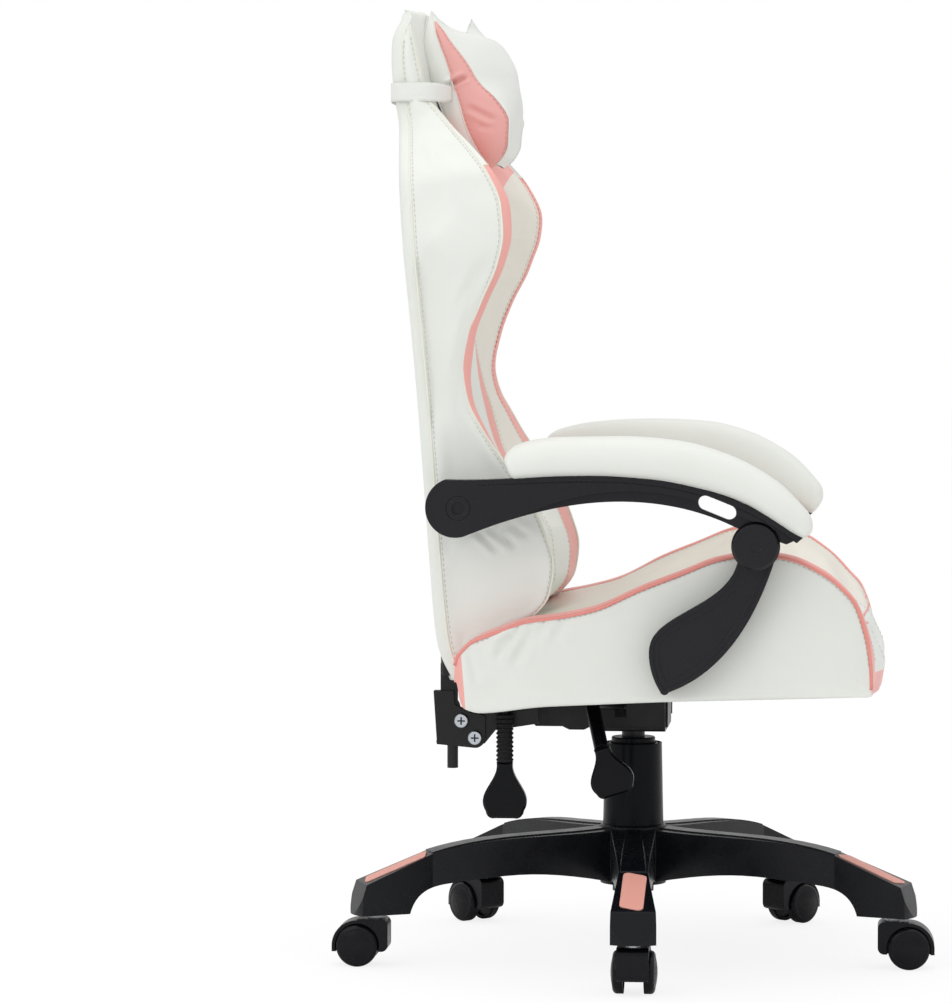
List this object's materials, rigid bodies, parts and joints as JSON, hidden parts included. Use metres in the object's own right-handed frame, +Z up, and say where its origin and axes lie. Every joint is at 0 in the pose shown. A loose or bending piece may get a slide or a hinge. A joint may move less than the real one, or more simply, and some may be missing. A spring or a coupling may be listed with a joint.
{
  "type": "gaming chair",
  "caption": "Racing-style gaming chair on casters with a reclining winged back, headrest pillow, gas lift and linked padded armrests.",
  "frame": {"origin": "on the floor, on the axis of the gas lift, with the seat at its lowest", "axes": "+Z up, the sitter faces -Y, +X is the sitter's left"},
  "size_m": [0.6772, 0.7181, 1.142],
  "materials": {
    "black_nylon": "satin glass-filled nylon moulding",
    "coral_pad": "satin coral moulded pad",
    "black_steel": "black powder coat",
    "white_acetal": "natural acetal",
    "bearing_steel": "zinc-plated steel",
    "chrome_rod": "hard chrome",
    "zinc_fasteners": "bright zinc",
    "plywood": "raw plywood",
    "black_plastic": "fine moulded grain",
    "caster_plastic": "satin nylon",
    "lever_plastic": "satin moulding",
    "black_rubber": "soft black rubber",
    "arm_plastic": "satin polypropylene",
    "white_leather": "fine-grained white imitation leather with pink and cream panels",
    "pillow_leather": "white imitation leather with pink side panels",
    "white_elastic": "woven white elastic"
  },
  "bodies": {
    "base": {"base_star": "black_nylon", "foot_pads": "coral_pad", "column_tube": "black_steel", "guide_bush": "white_acetal", "thrust_bearing": "bearing_steel", "cover_lower": "black_plastic"},
    "rod": {"piston_rod": "chrome_rod", "rod_clip": "bearing_steel"},
    "cover_stage": {"cover_middle": "black_plastic"},
    "seat": {"gas_spring": "black_steel", "cover_upper": "black_plastic", "cone_socket": "black_steel", "mechanism_plate": "black_steel", "mechanism_tray": "black_steel", "mechanism_bolts": "zinc_fasteners", "seat_board": "plywood", "recliner_brackets": "black_steel", "recliner_arms": "bearing_steel", "recliner_fasteners": "zinc_fasteners", "link_brackets": "black_steel", "seat_cushion": "white_leather"},
    "valve": {"valve_pin": "bearing_steel"},
    "height_lever": {"height_lever_rod": "black_steel", "height_lever_paddle": "lever_plastic"},
    "recline_lever": {"recline_lever_rod": "black_steel", "recline_lever_sleeve": "black_rubber", "recline_lever_paddle": "lever_plastic"},
    "back": {"back_frame": "black_steel", "back_cushion": "white_leather", "headrest_pillow": "pillow_leather", "pillow_strap": "white_elastic", "rear_cap": "black_plastic"},
    "arm_left": {"arm_frame_left": "arm_plastic", "arm_pad_left": "white_leather", "front_pivot_left": "arm_plastic"},
    "link_left": {"arm_link_left": "arm_plastic"},
    "arm_right": {"arm_frame_right": "arm_plastic", "arm_pad_right": "white_leather", "front_pivot_right": "arm_plastic"},
    "link_right": {"arm_link_right": "arm_plastic"},
    "caster_1": {"caster_1_hood": "caster_plastic", "caster_1_pins": "bearing_steel"},
    "wheel_1a": {"caster_1_wheel_a": "caster_plastic"},
    "wheel_1b": {"caster_1_wheel_b": "caster_plastic"},
    "caster_2": {"caster_2_hood": "caster_plastic", "caster_2_pins": "bearing_steel"},
    "wheel_2a": {"caster_2_wheel_a": "caster_plastic"},
    "wheel_2b": {"caster_2_wheel_b": "caster_plastic"},
    "caster_3": {"caster_3_hood": "caster_plastic", "caster_3_pins": "bearing_steel"},
    "wheel_3a": {"caster_3_wheel_a": "caster_plastic"},
    "wheel_3b": {"caster_3_wheel_b": "caster_plastic"},
    "caster_4": {"caster_4_hood": "caster_plastic", "caster_4_pins": "bearing_steel"},
    "wheel_4a": {"caster_4_wheel_a": "caster_plastic"},
    "wheel_4b": {"caster_4_wheel_b": "caster_plastic"},
    "caster_5": {"caster_5_hood": "caster_plastic", "caster_5_pins": "bearing_steel"},
    "wheel_5a": {"caster_5_wheel_a": "caster_plastic"},
    "wheel_5b": {"caster_5_wheel_b": "caster_plastic"}
  },
  "joints": [
    {"name": "swivel", "type": "hinge", "parent": "base", "child": "rod", "pos_m": [0, 0, 0.1], "axis": [0, 0, 1], "continuous": true},
    {"name": "gas_lift", "type": "slide", "parent": "rod", "child": "seat", "axis": [0, 0, 1], "range_m": [0, 0.1]},
    {"name": "cover_stage_lift", "type": "slide", "parent": "base", "child": "cover_stage", "axis": [0, 0, 1], "range_m": [0, 0.05]},
    {"name": "height_lever_lift", "type": "hinge", "parent": "seat", "child": "height_lever", "pos_m": [-0.0445, 0, 0.307], "axis": [0, 1, 0], "range_deg": [0, 5], "stiffness_Nm_per_rad": 6, "springref_deg": -8.59},
    {"name": "valve_press", "type": "slide", "parent": "seat", "child": "valve", "axis": [0, 0, -1], "range_m": [0, 0.0042]},
    {"name": "recline_lever_pull", "type": "hinge", "parent": "seat", "child": "recline_lever", "pos_m": [0, 0.138, 0.321], "axis": [-1, 0, 0], "range_deg": [0, 20], "stiffness_Nm_per_rad": 1.5, "springref_deg": -17.19},
    {"name": "back_recline", "type": "hinge", "parent": "seat", "child": "back", "pos_m": [0, 0.205, 0.318], "axis": [-1, 0, 0], "range_deg": [0, 36]},
    {"name": "arm_left_pivot", "type": "hinge", "parent": "back", "child": "arm_left", "pos_m": [0.285, 0.18, 0.559], "axis": [-1, 0, 0], "range_deg": [-27.12, 0]},
    {"name": "link_left_pivot", "type": "hinge", "parent": "seat", "child": "link_left", "pos_m": [0.27, -0.062, 0.368], "axis": [-1, 0, 0], "range_deg": [0, 50.17]},
    {"name": "arm_right_pivot", "type": "hinge", "parent": "back", "child": "arm_right", "pos_m": [-0.285, 0.18, 0.559], "axis": [-1, 0, 0], "range_deg": [-27.12, 0]},
    {"name": "link_right_pivot", "type": "hinge", "parent": "seat", "child": "link_right", "pos_m": [-0.27, -0.062, 0.368], "axis": [-1, 0, 0], "range_deg": [0, 50.17]},
    {"name": "caster_1_swivel", "type": "hinge", "parent": "base", "child": "caster_1", "pos_m": [-0.32443, -0.01928, 0.06], "axis": [0, 0, 1], "continuous": true},
    {"name": "wheel_1a_spin", "type": "hinge", "parent": "caster_1", "child": "wheel_1a", "pos_m": [-0.30443, -0.01928, 0.025], "axis": [0, 1, 0], "continuous": true},
    {"name": "wheel_1b_spin", "type": "hinge", "parent": "caster_1", "child": "wheel_1b", "pos_m": [-0.30443, -0.01928, 0.025], "axis": [0, 1, 0], "continuous": true},
    {"name": "caster_2_swivel", "type": "hinge", "parent": "base", "child": "caster_2", "pos_m": [-0.08192, -0.3145, 0.06], "axis": [0, 0, 1], "continuous": true},
    {"name": "wheel_2a_spin", "type": "hinge", "parent": "caster_2", "child": "wheel_2a", "pos_m": [-0.08192, -0.3345, 0.025], "axis": [1, 0, 0], "continuous": true},
    {"name": "wheel_2b_spin", "type": "hinge", "parent": "caster_2", "child": "wheel_2b", "pos_m": [-0.08192, -0.3345, 0.025], "axis": [1, 0, 0], "continuous": true},
    {"name": "caster_3_swivel", "type": "hinge", "parent": "base", "child": "caster_3", "pos_m": [0.2738, -0.1751, 0.06], "axis": [0, 0, 1], "continuous": true},
    {"name": "wheel_3a_spin", "type": "hinge", "parent": "caster_3", "child": "wheel_3a", "pos_m": [0.28866, -0.18848, 0.025], "axis": [0.6691, 0.7431, 0], "continuous": true},
    {"name": "wheel_3b_spin", "type": "hinge", "parent": "caster_3", "child": "wheel_3b", "pos_m": [0.28866, -0.18848, 0.025], "axis": [0.6691, 0.7431, 0], "continuous": true},
    {"name": "caster_4_swivel", "type": "hinge", "parent": "base", "child": "caster_4", "pos_m": [0.25114, 0.20629, 0.06], "axis": [0, 0, 1], "continuous": true},
    {"name": "wheel_4a_spin", "type": "hinge", "parent": "caster_4", "child": "wheel_4a", "pos_m": [0.26528, 0.22043, 0.025], "axis": [-0.7071, 0.7071, 0], "continuous": true},
    {"name": "wheel_4b_spin", "type": "hinge", "parent": "caster_4", "child": "wheel_4b", "pos_m": [0.26528, 0.22043, 0.025], "axis": [-0.7071, 0.7071, 0], "continuous": true},
    {"name": "caster_5_swivel", "type": "hinge", "parent": "base", "child": "caster_5", "pos_m": [-0.11858, 0.30259, 0.06], "axis": [0, 0, 1], "continuous": true},
    {"name": "wheel_5a_spin", "type": "hinge", "parent": "caster_5", "child": "wheel_5a", "pos_m": [-0.11858, 0.32259, 0.025], "axis": [-1, 0, 0], "continuous": true},
    {"name": "wheel_5b_spin", "type": "hinge", "parent": "caster_5", "child": "wheel_5b", "pos_m": [-0.11858, 0.32259, 0.025], "axis": [-1, 0, 0], "continuous": true}
  ],
  "couplings": [
    {"joint": "cover_stage_lift", "follows": "gas_lift", "ratio": 0.5},
    {"joint": "valve_press", "follows": "height_lever_lift", "m_per_rad": 0.0475},
    {"joint": "arm_left_pivot", "follows": "back_recline", "ratio": -0.7395},
    {"joint": "link_left_pivot", "follows": "back_recline", "ratio": 1.3796},
    {"joint": "arm_right_pivot", "follows": "back_recline", "ratio": -0.7395},
    {"joint": "link_right_pivot", "follows": "back_recline", "ratio": 1.3796}
  ]
}
